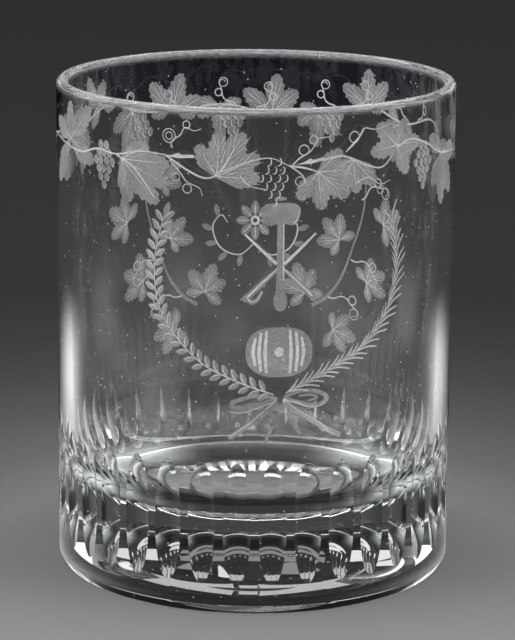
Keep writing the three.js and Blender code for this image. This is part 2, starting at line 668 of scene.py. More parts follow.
@dataclass
class VineFrieze:
    """The vine that runs round below the rim."""

    circumference: float
    seam: float
    middle: float = 100.3
    swing: float = 1.6
    back_drop: float = 3.2
    waves: int = 8
    front_reach: float = 62
    stem: float = 0.22
    back_stem: float = 0.2
    twig: float = 0.15
    ring: float = 0.11
    leaf_spacing: float = 12.5
    clear_of_front: float = 7.5
    lean: float = 25
    stalk: float = 0.6
    upper_leaf: Spot = (9.4, 10.6)
    lower_leaf: float = 8.6
    tendril: Tendril = Tendril(5.6)
    front_grapes: GrapeBunch = GrapeBunch(10.5)
    grapes: GrapeBunch = GrapeBunch(9.5)
    grapes_shift: Spot = (3.2, 0.4)
    tendril_shift: float = 2.2
    stem_step: float = 1.4
    front_seed: int = 11
    round_seed: int = 23

    def _front(self, wheel: Engraver) -> None:
        """Carve the stretch that faces the viewer."""
        for root, tips, veins in (
            ((-31.4, 99.4), [(-24, 103), (-19, 99.4), (-19.4, 95), (-21.6, 90.8), (-29, 90.2)], 1),
            ((-8.3, 97.4), [(-12.6, 104), (-7.8, 107), (-2.4, 106.9), (0.9, 102), (0.9, 97.2)], 3),
            ((13.5, 98.4), [(18.8, 102.8), (21.8, 98.4), (20.2, 92.6), (14.4, 90.2), (9.2, 92.6)], 3),
            ((33.3, 102.6), [(26, 101.6), (27.6, 107.6), (35.8, 108.2), (41, 102.6), (36.6, 96)], 0),
            ((21.6, 100.6), [(17, 98.8), (18.6, 94.6), (22.6, 93.2), (27.4, 94.8)], 2),
            ((51, 98.6), [(45, 103), (46.4, 92), (51.4, 87), (57.6, 88.8), (60.6, 98)], 2),
            ((-51, 101), [(-40.4, 97.4), (-41.4, 109), (-50.6, 109.4), (-60.2, 104), (-59.8, 90.4)], 2),
        ):
            VineLeaf(root, tips, veins).carve(wheel)
        left_end = self._stem_spot(-self.front_reach)
        right_end = self._stem_spot(self.front_reach)
        left_stem = [left_end, (-54, 99.6), (-45.5, 99), (-39, 100.6), (-33, 100.2), (-26, 101.6)]
        right_stem = [(14.7, 100.9), (18.8, 101.5), (22.2, 100.4), (25.8, 98.8), (29.5, 98.4)]
        for thick, spots in (
            (self.stem, [(-33, 100.2), (-28.2, 98), (-24.8, 94.6), (-22.6, 91.8)]),
            (self.stem, [*left_stem, (-19.9, 101.4)]),
            (self.stem, [(-19.9, 101.4), (-14.8, 98.5), (-10.8, 97), (-7.6, 98.4), (-4.6, 103.4)]),
            (self.stem, [(7.1, 99.9), (10.3, 99.4), (13.6, 98.4)]),
            (self.stem, [*right_stem, (33.3, 102)]),
            (self.stem, [(24.1, 106.9), (22.4, 104.6), (19.8, 102.3)]),
            (self.stem, [(33.3, 102), (38, 103.4), (44, 101.6), (51, 98.6), right_end]),
            (self.twig, [(-7.6, 98.4), (-2, 100.6), (3, 101.6), (7.1, 99.9)]),
        ):
            wheel.curve(spots, (thick, thick, thick * 0.6))
        barbed_twig(wheel, Vector((-20.4, 101.2)), Vector((-13.2, 101.5)))
        barbed_twig(wheel, Vector((8.6, 100.1)), Vector((15, 101.2)))
        chance = random.Random(self.front_seed)
        for spot, matt in (((-36.8, 103), True), ((3.8, 102), False), ((42.4, 102.6), True)):
            self.front_grapes.carve(wheel, Vector(spot), chance, matt)
        for spots in (
            [
                (-18.2, 103), (-18.5, 104), (-17.8, 105), (-16.4, 105.9), (-15.3, 107.6), (-13.3, 107),
                (-11.7, 107.5),
            ],
            [(-18.9, 100.4), (-17.3, 98.8), (-16.2, 97.6), (-14.8, 95.9), (-12.1, 94.8), (-11.4, 93.1)],
            [(7.3, 99.9), (10.1, 97.7), (10.8, 95.9)],
            [(7.9, 100.1), (9.4, 101.5), (11.6, 102.8), (12.7, 104.2), (13.5, 105.5), (16, 105.8)],
            [(20.2, 102.7), (23.1, 105.5), (24.3, 107.1), (27.7, 106.6), (33.1, 107.8)],
            [(-3.3, 97.7), (-1.2, 95.6), (2.6, 94.8)],
            [(22.4, 95.4), (25.6, 96.4), (28.6, 94.6), (31.4, 95.2)],
        ):
            wheel.curve(spots, self.tendril.widths)
        for along, height, radius in (
            (-19, 105.6, 1.5), (-19, 105.6, 0.8), (-15, 108.2, 0.8), (-17.4, 96.8, 0.9), (-14.8, 94.5, 1),
            (9.5, 96.5, 1), (10.3, 103.2, 1.1), (12.4, 105.3, 0.9), (21.8, 105.4, 1.2), (28.8, 93.4, 0.9),
        ):
            wheel.ring(Vector((along, height)), radius, self.ring)

    def _stem_spot(self, along: float) -> Vector:
        """Return the stem's place at a distance along the wall."""
        phase = TAU * self.waves * (along - self.seam) / self.circumference
        drop = self.back_drop * (1 - math.cos(TAU * along / self.circumference)) / 2
        return Vector((along, self.middle - drop + self.swing * math.cos(phase)))

    def _round(self, wheel: Engraver, start: float, end: float) -> None:
        """Carve the stretch between two places, from a seeded pattern.

        Args:
            wheel: The engraver's wheel.
            start: Where it starts along the wall.
            end: Where it ends.
        """
        chance = random.Random(self.round_seed)
        count = round((end - start) / self.leaf_spacing)
        for number in range(count):
            along = start + (end - start) * (number + 0.5) / count
            up = number % 2 == 0
            if min(abs(along - start), abs(along - end)) < self.clear_of_front:
                continue
            root = self._stem_spot(along)
            ahead = turned(Vector((0, 1 if up else -1)), chance.uniform(-self.lean, self.lean))
            root += ahead * self.stalk
            size = chance.uniform(*self.upper_leaf) if up else self.lower_leaf
            LeafPattern().leaf(root, ahead, size, chance).carve(wheel)
        for number in range(count // 2):
            along = start + (end - start) * (number * 2 + 1.0) / count
            self.grapes.carve(wheel, self._stem_spot(along) + Vector(self.grapes_shift), chance)
            for hand in (1, -1):
                spot = self._stem_spot(along + hand * self.tendril_shift)
                self.tendril.carve(wheel, spot, turned(Vector((0, 1)), -hand * self.lean), -hand)
        steps = round((end - start) / self.stem_step)
        line = [self._stem_spot(start + (end - start) * step / steps) for step in range(steps + 1)]
        wheel.stroke(line, (self.back_stem, self.back_stem, self.back_stem))

    def carve(self, wheel: Engraver) -> None:
        """Carve the frieze all the way round."""
        self._front(wheel)
        self._round(wheel, self.front_reach, self.seam)
        self._round(wheel, self.seam - self.circumference, -self.front_reach)


@dataclass
class Wreath:
    """The two branches tied below with a bow.

    Each side of a branch is given by its hand, its lean in degrees and its place within
    the pair. For the needles, their length as a share comes before the place.
    """

    leaflet: Spot = (2.9, 1.2)
    leaflet_pairs: int = 24
    leaflet_sides: tuple[Triple, ...] = ((1, 50, 0.5), (-1, 46, 0.9))
    leaflet_stalk: float = 0.08
    rib_bow: float = 0.30
    rib_ends: Spot = (0.42, 0.44)
    needle: float = 4.2
    needle_pairs: int = 26
    needle_sides: tuple[tuple[int, float, float, float], ...] = ((-1, 36, 1.05, 0.45), (1, 32, 0.95, 0.15))
    long_and_short: Spot = (1.12, 0.95)
    needle_bow: float = 0.45
    needle_parts: Spot = (0.5, 0.55)

    def _laurel(self, wheel: Engraver) -> None:
        """Carve the branch of small oval leaves."""
        stem = smooth_line([
            (4.3, 50), (-1.5, 52), (-6.9, 54.2), (-11.1, 56.3), (-14.9, 59.4), (-18.7, 63.6),
            (-21.1, 67.6), (-22.3, 71.9), (-22.5, 77), (-21.8, 82.5), (-20.2, 88),
        ])
        length, width = self.leaflet
        for number in range(self.leaflet_pairs):
            for hand, lean, start in self.leaflet_sides:
                place, ahead = at_share(stem, (number + start) / self.leaflet_pairs)
                out = turned(ahead, hand * lean)
                middle = place + out * (length / 2 + self.leaflet_stalk)
                wheel.oval(middle, out, self.leaflet)
                bow = middle + left_of(out) * -hand * width * self.rib_bow
                low, high = self.rib_ends
                rib = [middle - out * length * low, bow, middle + out * length * high]
                wheel.curve(rib, (0.08, 0.15, 0.06), steps=3)
        wheel.oval(stem[-1] + Vector((0.7, 1.6)), turned(Vector((0, 1)), -20), (3.6, 1.3))
        wheel.stroke(stem, (0.17, 0.15, 0.10))

    def _palm(self, wheel: Engraver) -> None:
        """Carve the branch of long paired needles."""
        stem = smooth_line([
            (6.8, 50.2), (10, 51.8), (14.4, 54), (19.1, 56.2), (24, 58.8), (27.9, 62.1),
            (31.2, 66.3), (33.2, 71), (34, 76.3), (33.4, 81.7), (32.2, 86.8),
        ])
        for number in range(self.needle_pairs):
            for hand, lean, reach, start in self.needle_sides:
                place, ahead = at_share(stem, (number + start) / self.needle_pairs)
                out = turned(ahead, hand * lean)
                length = self.needle * reach * self.long_and_short[0 if number % 2 else 1]
                bow = turned(ahead, hand * lean * self.needle_bow)
                half_way = place + bow * length * self.needle_parts[0]
                tip = half_way + out * length * self.needle_parts[1]
                needle = smooth_line([place, half_way, tip], 3)
                if hand < 0:
                    wheel.stroke(needle, (0.12, 0.20, 0.17))
                else:
                    wheel.stroke(needle, (0.20, 0.34, 0.10), Zone.MATT)
                    wheel.stroke(needle, (0.07, 0.16, 0.08))
        wheel.stroke(stem, (0.22, 0.16, 0.10), Zone.MATT)

    def _bow(self, wheel: Engraver) -> None:
        """Carve the bow and its hanging ends."""
        knot = (5, 49.2)
        left = [knot, (1.6, 49.9), (-2.2, 49.1), (-4.6, 48.1), (-4.4, 47.1), (-1.2, 47.3), (2.2, 48.3)]
        wheel.curve([*left, knot], (0.3, 0.5, 0.3), Zone.MATT)
        spots = [(4.8, 48.9), (1.4, 47.6), (-2.2, 46.3), (-5.4, 46.3)]
        lower = wheel.curve(spots, (0.3, 0.45, 0.25), Zone.MATT)
        wheel.shine(lower, (0, -0.35), (0.08, 0.12, 0.08))
        knot = (6.4, 49.3)
        right = [knot, (9.8, 50.6), (13.4, 50.5), (15.9, 49.2), (15.4, 47.8), (12.6, 47.2), (9.2, 48.3)]
        loop = wheel.curve([*right, knot], (0.3, 0.55, 0.3), Zone.MATT)
        wheel.shine(loop[18:], (0, -0.3), (0.08, 0.14, 0.08))
        wheel.curve([(9.8, 49.6), (12.4, 49.7), (13.9, 49), (12, 48.5)], (0.2, 0.32, 0.2), Zone.MATT)
        for spots in (
            [(4.8, 48.6), (1.8, 45.9), (-1.5, 43), (-5.4, 40.2)],
            [(6.8, 48.4), (9.2, 46.2), (12.3, 44.3), (15.8, 42), (19.4, 40)],
        ):
            tail = wheel.curve(spots, (0.35, 0.62, 0.5), Zone.MATT)
            wheel.shine(tail, (0.25, 0.3), (0.08, 0.13, 0.06))
        for spots in (
            [(5.1, 47.9), (3.3, 46.2), (4.5, 45), (2.7, 43.6), (3.6, 42.2), (2.5, 39.4)],
            [(6.3, 47.9), (8.2, 46.7), (7.6, 45.2), (9.4, 44.6), (8.8, 43.1), (10.1, 41.2)],
        ):
            wheel.curve(spots, (0.3, 0.55, 0.3), Zone.MATT)
        wheel.oval(Vector((6.6, 48.6)), Vector((0.4, 0.9)).normalized(), (1.2, 0.7), Zone.CUT)

    def carve(self, wheel: Engraver) -> None:
        """Carve both branches and the bow."""
        self._laurel(wheel)
        self._palm(wheel)
        self._bow(wheel)


@dataclass
class CooperTools:
    """The cooper's mallet, two crossed irons and a cask."""

    centre: float = 5.5
    cask_height: float = 59.4
    cask_half: Spot = (7.3, 5.5)
    cask_steps: int = 32
    cask_fullness: Spot = (0.75, 0.85)
    hoops: tuple[float, ...] = (-5.5, -4.25, -2.95, 2.5, 3.9, 5.2)
    hoop_half: float = 5.2
    hoop_reach: float = 8.6
    hoop_bow: float = 0.35

    def _at(self, spots: tuple[Spot, ...]) -> list[Vector]:
        """Return places from their distances beside the middle line and their heights."""
        return [Vector((self.centre + beside, height)) for beside, height in spots]

    def _mallet(self, wheel: Engraver) -> None:
        """Carve the mallet, upright with its head on top."""
        wheel.area(self._at((
            (-0.75, 88.2), (0.8, 88.2), (0.85, 78), (1, 72.8), (1.45, 71.4), (1.5, 69.9), (0.9, 68.7),
            (0, 68.3), (-0.9, 68.7), (-1.5, 69.9), (-1.45, 71.4), (-1, 72.8), (-0.85, 78),
        )))
        head = smooth_line(self._at((
            (-3.3, 91.7), (0, 92), (3.3, 91.7), (4.3, 90.3), (3.9, 88.4), (2.9, 87.1), (0.9, 87.4),
            (0, 87.7), (-0.9, 87.4), (-2.9, 87), (-3.9, 88.4), (-4.3, 90.3), (-3.3, 91.7),
        )), 2)
        wheel.area(head[:-1])
        wheel.oval(self._at(((-0.1, 92.9),))[0], Vector((1, 0)), (2.7, 0.8))
        wheel.stroke(self._at(((0.55, 87.6), (0.6, 80), (0.7, 75))), (0.12, 0.14, 0.1))
        wheel.curve(self._at(((4, 90.6), (3.6, 88.5), (2.7, 87.3))), (0.1, 0.16, 0.1), steps=3)

    def _irons(self, wheel: Engraver) -> None:
        """Carve the two irons, crossed over the mallet's handle."""
        for hand in (-1, 1):
            thin = self._at(((hand * 7.7, 85.2), (hand * 4, 81.7), (hand * 0.8, 78.7)))
            wheel.stroke(thin, (0.22, 0.32, 0.36))
            broad = self._at(((-hand * 0.8, 77.5), (-hand * 4, 74.5), (-hand * 7.3, 71.2)))
            wheel.stroke(broad, (0.36, 0.6, 0.75), Zone.MATT)
            wheel.shine(broad, (hand * 0.28, 0.32), (0.12, 0.2, 0.2))
            wheel.oval(broad[-1], Vector((-hand * 0.7, -0.7)), (1.8, 1.6))
        spots = self._at(((-7.2, 71.4), (-6.2, 70.4), (-4.9, 71), (-3.9, 72.8)))
        hook = wheel.curve(spots, (0.5, 0.55, 0.3), Zone.MATT)
        wheel.stroke(hook, (0.1, 0.16, 0.1))

    def _cask(self, wheel: Engraver) -> None:
        """Carve the cask, lying with its bung to the front."""
        middle = Vector((self.centre - 0.1, self.cask_height))
        (half_wide, half_high), (full_wide, full_high) = self.cask_half, self.cask_fullness
        body = []
        for step in range(self.cask_steps):
            angle = TAU * step / self.cask_steps
            c, s = math.cos(angle), math.sin(angle)
            wide = math.copysign(abs(c) ** full_wide, c) * half_wide
            high = math.copysign(abs(s) ** full_high, s) * half_high
            body.append(middle + Vector((wide, high)))
        wheel.area(body)
        for shift in self.hoops:
            short = 0.9 if abs(shift) > 5 else 0.2
            tall = self.hoop_half * math.sqrt(1 - (shift / self.hoop_reach) ** 2) - short
            lean = math.copysign(self.hoop_bow, shift) * (abs(shift) / 5)
            hoop = ((shift - lean, tall), (shift + lean * 0.4, 0), (shift - lean, -tall))
            wheel.curve([middle + Vector(spot) for spot in hoop], (0.30, 0.42, 0.30))
        wheel.ring(middle, 0.55, 0.54)

    def carve(self, wheel: Engraver) -> None:
        """Carve all three."""
        self._mallet(wheel)
        self._irons(wheel)
        self._cask(wheel)


@dataclass
class BackSprays:
    """Two vine sprays on the far wall, with a small flower spray between them."""

    middle: float = -141.37
    flower_height: float = 70.0
    petals: int = 8
    petal: Spot = (3.6, 1.9)
    petal_middle: float = 3.1
    petal_rib: Spot = (1.6, 4.3)
    buds: tuple[float, ...] = (0.2, 0.36, 0.52, 0.68, 0.84)
    bud: Spot = (3.0, 1.3)
    bud_lean: float = 60
    bud_middle: float = 1.7
    tendril: Tendril = Tendril(7.0)
    seed: int = 5

    def _side(self, wheel: Engraver, hand: int, chance: random.Random) -> None:
        """Carve one spray, to one side of the middle."""

        def at(beside: float, height: float) -> Vector:
            """Return a place beside the middle."""
            return Vector((self.middle + hand * beside, height))

        branch = ((15, 49.5), (19, 52), (23, 57), (26, 64), (29.5, 74), (30.5, 84))
        wheel.curve([at(*spot) for spot in branch], (0.5, 0.3, 0.2), Zone.MATT)
        for spot, ahead, size in (
            ((13, 52.5), (-0.4, 1), 7.2),
            ((21, 44), (0.9, -0.2), 7),
            ((31, 57), (1, 0.5), 7.4),
            ((22.5, 66.5), (-0.8, 0.8), 6.6),
            ((36.5, 72), (0.9, 0.5), 7.6),
            ((25, 80.5), (-0.8, 0.7), 6),
        ):
            lean = Vector((ahead[0] * hand, ahead[1])).normalized()
            LeafPattern().leaf(at(*spot), lean, size, chance).carve(wheel)
        for spot, ahead in (((26, 62), (0.8, -0.6)), ((19.5, 52), (0.9, -0.5)), ((29, 77), (0.9, 0.2))):
            self.tendril.carve(wheel, at(*spot), Vector((ahead[0] * hand, ahead[1])), hand)

    def _flower(self, wheel: Engraver) -> None:
        """Carve the flower and the two curling stalks below it."""
        middle = Vector((self.middle, self.flower_height))
        for step in range(self.petals):
            ahead = turned(Vector((0, 1)), 360 / self.petals * step)
            wheel.oval(middle + ahead * self.petal_middle, ahead, self.petal)
            wheel.stroke([middle + ahead * reach for reach in self.petal_rib], (0.14, 0.14, 0.08))
        wheel.ring(middle, 0.9, 0.35)
        for hand in (-1, 1):
            stalk = ((0, 64.5), (4, 61.5), (9, 63.5), (11, 68.5), (8.8, 71.5), (7, 69.5))
            spots = [(self.middle + hand * beside, height) for beside, height in stalk]
            line = wheel.curve(spots, (0.12, 0.2, 0.1))
            for share in self.buds:
                place, ahead = at_share(line, share)
                out = turned(ahead, -hand * self.bud_lean)
                wheel.oval(place + out * self.bud_middle, out, self.bud)

    def carve(self, wheel: Engraver) -> None:
        """Carve the sprays and the flower."""
        chance = random.Random(self.seed)
        self._side(wheel, -1, chance)
        self._side(wheel, 1, chance)
        self._flower(wheel)


@dataclass
class Beaker:
    """The glass itself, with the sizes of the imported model."""

    outer_diameter: float = 90
    height: float = 112
    rim_wall: float = 2.8
    lower_wall: float = 3.3
    base_thickness: float = 18.3
    inner_fillet: float = 14.5
    foot_bevel_height: float = 2.4
    foot_bevel_width: float = 1.4
    bevel_softening: float = 1.0
    ring_softening: float = 0.4
    ring_setback: float = 0.1
    push_up_diameter: float = 54
    push_up_depth: float = 0.5
    pontil_diameter: float = 34
    flute_count: int = 36
    land_width: float = 1.8
    flute_depth: float = 0.9
    flute_top: float = 34.5
    flute_bottom: float = 7
    wheel_radius: float = 75
    first_flute_angle: float = -4.5
    flute_columns: int = 6
    land_columns: int = 4
    run_out_rows: int = 12
    belt_top: float = 36.5
    wall_rows: int = 24
    seam_column: int = 13
    engraving_depth: float = 0.12
    cut_depth: float = 0.10
    engraving_below_rim: float = 0.7
    nearest_points: float = 0.004
    weld_distance: float = 0.002
    sliver_length: float = 0.001
    push_up_steps: int = 6
    ring_steps: int = 6
    bevel_steps: int = 4
    rim_steps: int = 16
    inner_wall_steps: int = 6
    fillet_steps: int = 18
    sharp_edge: float = 12

    def __post_init__(self) -> None:
        """Work out the sizes that follow from the named ones."""
        self.radius = self.outer_diameter / 2
        self.pitch = TAU / self.flute_count
        self.turn_steps = self.flute_count * 2 * self.land_columns
        half = (self.pitch - self.land_width / self.radius) / 2
        half_width = self.radius * math.sin(half)
        rise = self.radius * math.cos(half) - (self.radius - self.flute_depth)
        self.edge_radius = (half_width**2 + rise**2) / (2 * rise)
        self.run_out = math.sqrt(2 * self.wheel_radius * self.flute_depth - self.flute_depth**2)
        self.wall_top = self.height - self.rim_wall / 2
        self.first_turn = math.radians(self.first_flute_angle)
        seam = self.first_turn + math.pi / 2 + self.seam_column * TAU / self.turn_steps
        self.seam = seam * self.radius

    def point(self, radius: float, angle: float, height: float) -> Vector:
        """Return a point of the glass in metres, from its cylinder coordinates."""
        return Vector((radius * math.cos(angle), radius * math.sin(angle), height)) * MM

    @staticmethod
    def _arc(centre: Spot, radius: float, start: float, end: float, steps: int) -> list[Spot]:
        """Return points on an arc of the section.

        Args:
            centre: The arc's centre, as distance from the axis and height.
            radius: Its radius.
            start: The first angle, in degrees.
            end: The last angle, in degrees.
            steps: How many steps it has.

        Returns:
            The points, both ends among them.
        """
        points = []
        for step in range(steps + 1):
            angle = math.radians(start + (end - start) * step / steps)
            points.append((centre[0] + radius * math.cos(angle), centre[1] + radius * math.sin(angle)))
        return points

    def _under_section(self) -> list[Spot]:
        """Return the section under the base, from the axis out to the bevel's top."""
        width = (self.push_up_diameter - self.pontil_diameter) / 2
        radius = (width**2 + self.push_up_depth**2) / (2 * self.push_up_depth)
        slope = math.degrees(math.asin(width / radius))
        points = [(0.0, self.push_up_depth), (self.pontil_diameter / 4, self.push_up_depth)]
        middle = (self.push_up_diameter / 2, radius)
        points += self._arc(middle, radius, -90 - slope, -90, self.push_up_steps)
        lean = math.degrees(math.atan2(self.foot_bevel_width, self.foot_bevel_height))
        low = self.radius - self.foot_bevel_width - self.ring_setback
        soft = self.ring_softening
        points += self._arc((low, soft), soft, -90, -lean, self.ring_steps)
        soft = self.bevel_softening
        points += self._arc((self.radius - soft, self.foot_bevel_height), soft, -lean, 0, self.bevel_steps)
        return points

    def _inner_section(self) -> list[Spot]:
        """Return the section from the wall over the rim and down to the axis inside."""
        rim = self.rim_wall / 2
        inner = self.radius - self.lower_wall
        floor = self.base_thickness
        fillet = self.inner_fillet
        points = self._arc((self.radius - rim, self.wall_top), rim, 0, 180, self.rim_steps)
        top = points[-1]
        for step in range(1, self.inner_wall_steps):
            share = step / self.inner_wall_steps
            height = top[1] + (floor + fillet - top[1]) * share
            points.append((top[0] + (inner - top[0]) * share, height))
        points += self._arc((inner - fillet, floor + fillet), fillet, 0, -90, self.fillet_steps)
        points += [((inner - fillet) / 2, floor), (0.0, floor)]
        return points

    def _spin_blank(self, bm: bmesh.types.BMesh) -> None:
        """Turn the two sections round the axis, as the blank was turned."""
        for section in (self._under_section(), self._inner_section()):
            line = [bm.verts.new(self.point(r, self.first_turn, z)) for r, z in section]
            edges = [bm.edges.new(pair) for pair in zip(line, line[1:])]
            bmesh.ops.spin(
                bm,
                geom=[*line, *edges],
                cent=(0, 0, 0),
                axis=(0, 0, 1),
                dvec=(0, 0, 0),
                angle=TAU,
                steps=self.turn_steps,
                use_merge=True,
                use_duplicate=False,
            )

    def _flute_depth_at(self, height: float) -> float:
        """Return how deep the wheel stands in the glass at a height."""
        past_top = height - (self.flute_top - self.run_out)
        past_bottom = (self.flute_bottom + self.run_out) - height
        past = max(past_top, past_bottom, 0.0)
        if past >= self.run_out:
            return 0.0
        return self.flute_depth - self.wheel_radius + math.sqrt(self.wheel_radius**2 - past**2)

    def _flute_half_width(self, depth: float) -> float:
        """Return half of the flute's width where the wheel stands at a depth."""
        if depth <= 0:
            return 0.0
        centre = self.radius - depth + self.edge_radius
        meet = (self.radius**2 - self.edge_radius**2 + centre**2) / (2 * centre)
        return math.sqrt(max(self.radius**2 - meet**2, 0.0))

    def _belt_heights(self) -> list[float]:
        """Return the heights of the belt's rows, close together at the flutes' ends."""
        low = self.flute_bottom + self.run_out
        high = self.flute_top - self.run_out
        heights = [self.foot_bevel_height, (self.foot_bevel_height + self.flute_bottom) / 2]
        for row in range(self.run_out_rows + 1):
            share = math.sin(math.pi / 2 * (1 - row / self.run_out_rows))
            heights.append(low - self.run_out * share)
        heights.append((low + high) / 2)
        for row in range(self.run_out_rows + 1):
            heights.append(high + self.run_out * math.sin(math.pi / 2 * row / self.run_out_rows))
        heights.append(self.belt_top)
        return heights

    def _belt_point(self, column: int, height: float) -> Vector:
        """Return the place of one column of the belt at a height.

        Args:
            column: The column's number, counted from the first flute's centre.
            height: The height.

        Returns:
            The point, on the flute's hollow or on the land beside it.
        """
        per_side = self.flute_columns + self.land_columns
        flute = round(column / (2 * per_side))
        offset = column - flute * 2 * per_side
        side = 1 if offset >= 0 else -1
        offset = abs(offset)
        centre = self.first_turn + flute * self.pitch
        depth = self._flute_depth_at(height)
        half_width = self._flute_half_width(depth)
        if offset <= self.flute_columns and half_width > 0:
            across = half_width * offset / self.flute_columns
            hollow = self.edge_radius - math.sqrt(self.edge_radius**2 - across**2)
            outward = self.radius - depth + hollow
            reach = math.hypot(across, outward)
            return self.point(reach, centre + side * math.atan2(across, outward), height)
        meet = math.asin(half_width / self.radius)
        share = max(offset - self.flute_columns, 0) / self.land_columns
        angle = meet + (self.pitch / 2 - meet) * share
        return self.point(self.radius, centre + side * angle, height)

    def _wrap_belt(self, bm: bmesh.types.BMesh, zone: bmesh.types.BMLayerItem) -> None:
        """Wrap a flat grid, one unit wide and high, round the foot and press the flutes into it."""
        heights = self._belt_heights()
        per_side = self.flute_columns + self.land_columns
        columns = self.flute_count * 2 * per_side
        rows = len(heights) - 1
        made = bmesh.ops.create_grid(bm, x_segments=columns, y_segments=rows, size=0.5)
        for face in {f for v in made["verts"] for f in v.link_faces}:
            centre = face.calc_center_median()
            column = math.floor((centre.x + 0.5) * columns)
            height = heights[math.floor((centre.y + 0.5) * rows)]
            beside = abs((column + per_side) % (2 * per_side) + 0.5 - per_side)
            in_flute = beside < self.flute_columns
            in_reach = self.flute_bottom - HAIR <= height < self.flute_top - HAIR
            face[zone] = (Zone.FLUTE if in_flute and in_reach else Zone.WALL).value
        for vert in made["verts"]:
            column = round((vert.co.x + 0.5) * columns)
            row = round((vert.co.y + 0.5) * rows)
            vert.co = self._belt_point(column, heights[row])

    def build(self, marks: list[Mark], finishes: list[bpy.types.Material]) -> bpy.types.Object:
        """Make the glass.

        Args:
            marks: The engraving.
            finishes: The clear, matt and deep-cut materials, in that order.

        Returns:
            The piece, riding on the root body.
        """
        bm = bmesh.new()
        zone = bm.faces.layers.int.new("zone")
        self._spin_blank(bm)
        for face in bm.faces:
            face[zone] = Zone.BLANK.value
        self._wrap_belt(bm, zone)
        self._fill_wall(bm, zone, marks)
        bmesh.ops.remove_doubles(bm, verts=bm.verts, dist=self.weld_distance * MM)
        bmesh.ops.dissolve_degenerate(bm, edges=bm.edges, dist=self.sliver_length * MM)
        bmesh.ops.recalc_face_normals(bm, faces=bm.faces)
        self._crease(bm, zone)
        mesh = bpy.data.meshes.new("glass_body")
        bm.to_mesh(mesh)
        open_edges = sum(1 for edge in bm.edges if not edge.is_manifold)
        log.info("glass: %d faces, %d open edges", len(bm.faces), open_edges)
        bm.free()
        self._true_normals(mesh)
        piece = bpy.data.objects.new("glass_body", mesh)
        bpy.context.scene.collection.objects.link(piece)
        for finish in finishes:
            mesh.materials.append(finish)
        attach(piece, "root")
        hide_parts("beaker")
        return piece

    def _fill_wall(self, bm: bmesh.types.BMesh, zone: bmesh.types.BMLayerItem, marks: list[Mark]) -> None:
        """Lay the wall between the belt and the rim, with the engraving sunk in it.

        Args:
            bm: The mesh to add it to.
            zone: The layer that names each face's kind of surface.
            marks: The engraving.
        """
        step = TAU / self.turn_steps * self.radius
        start = self.seam - TAU * self.radius
        span = self.wall_top - self.belt_top
        heights = [self.belt_top + span * row / self.wall_rows for row in range(self.wall_rows + 1)]
        spots = [Vector((start + step * c, z)) for z in heights for c in range(self.turn_steps + 1)]
        wide = self.turn_steps + 1
        top = self.wall_rows * wide
        edges = [(c, c + 1) for c in range(self.turn_steps)]
        edges += [(top + c, top + c + 1) for c in range(self.turn_steps)]
        edges += [(r * wide, (r + 1) * wide) for r in range(self.wall_rows)]
        edges += [(r * wide + wide - 1, (r + 1) * wide + wide - 1) for r in range(self.wall_rows)]
        highest = self.wall_top - self.engraving_below_rim
        for mark in marks:
            first = len(spots)
            spots += [Vector((min(max(u, start), self.seam), min(z, highest))) for u, z in mark.outline]
            edges += zip(range(first, len(spots)), [*range(first + 1, len(spots)), first])
        points, _, faces, *_ = delaunay_2d_cdt(spots, edges, [], 0, self.nearest_points, True)
        finder = MarkFinder(marks)
        verts = []
        for spot in points:
            angle = spot.x / self.radius - math.pi / 2
            verts.append(bm.verts.new(self.point(self.radius, angle, spot.y)))
        sunk = []
        for corners in faces:
            face = bm.faces.new([verts[corner] for corner in corners])
            middle = sum((points[corner] for corner in corners), Vector((0, 0))) / len(corners)
            kind = finder.zone_at(middle)
            face[zone] = kind.value
            if kind is not Zone.WALL:
                sunk.append(face)
        sunk = self._sink(bm, zone, sunk, self.engraving_depth)
        deep = [face for face in sunk if face[zone] == Zone.CUT.value]
        self._sink(bm, zone, deep, self.cut_depth)

    def _sink(
        self,
        bm: bmesh.types.BMesh,
        zone: bmesh.types.BMLayerItem,
        faces: list[bmesh.types.BMFace],
        depth: float,
    ) -> list[bmesh.types.BMFace]:
        """Sink faces of the wall into the glass.

        Args:
            bm: The mesh that they are in.
            zone: The layer that names each face's kind of surface.
            faces: The faces to sink.
            depth: How far they sink.

        Returns:
            The sunk faces.
        """
        made = bmesh.ops.extrude_face_region(bm, geom=faces)["geom"]
        bmesh.ops.delete(bm, geom=faces, context="FACES")
        floor = [item for item in made if isinstance(item, bmesh.types.BMFace)]
        inside = set(floor)
        for vert in (item for item in made if isinstance(item, bmesh.types.BMVert)):
            share = 1 - depth * MM / math.hypot(vert.co.x, vert.co.y)
            vert.co.x *= share
            vert.co.y *= share
            for face in vert.link_faces:
                if face not in inside:
                    face[zone] = Zone.EDGE.value
        return floor

    def _crease(self, bm: bmesh.types.BMesh, zone: bmesh.types.BMLayerItem) -> None:
        """Shade the glass smooth, apart from the flutes' edges and the foot's."""
        ground = {Zone.MATT.value: 1, Zone.EDGE.value: 1, Zone.CUT.value: 2}
        for face in bm.faces:
            face.smooth = True
            face.material_index = ground.get(face[zone], 0)
        for edge in bm.edges:
            kinds = {face[zone] for face in edge.link_faces}
            if (Zone.FLUTE.value in kinds or Zone.EDGE.value in kinds) and len(kinds) > 1:
                edge.smooth = False
            elif kinds == {Zone.BLANK.value} or len(kinds) > 1:
                edge.smooth = edge.calc_face_angle(0.0) < math.radians(self.sharp_edge)

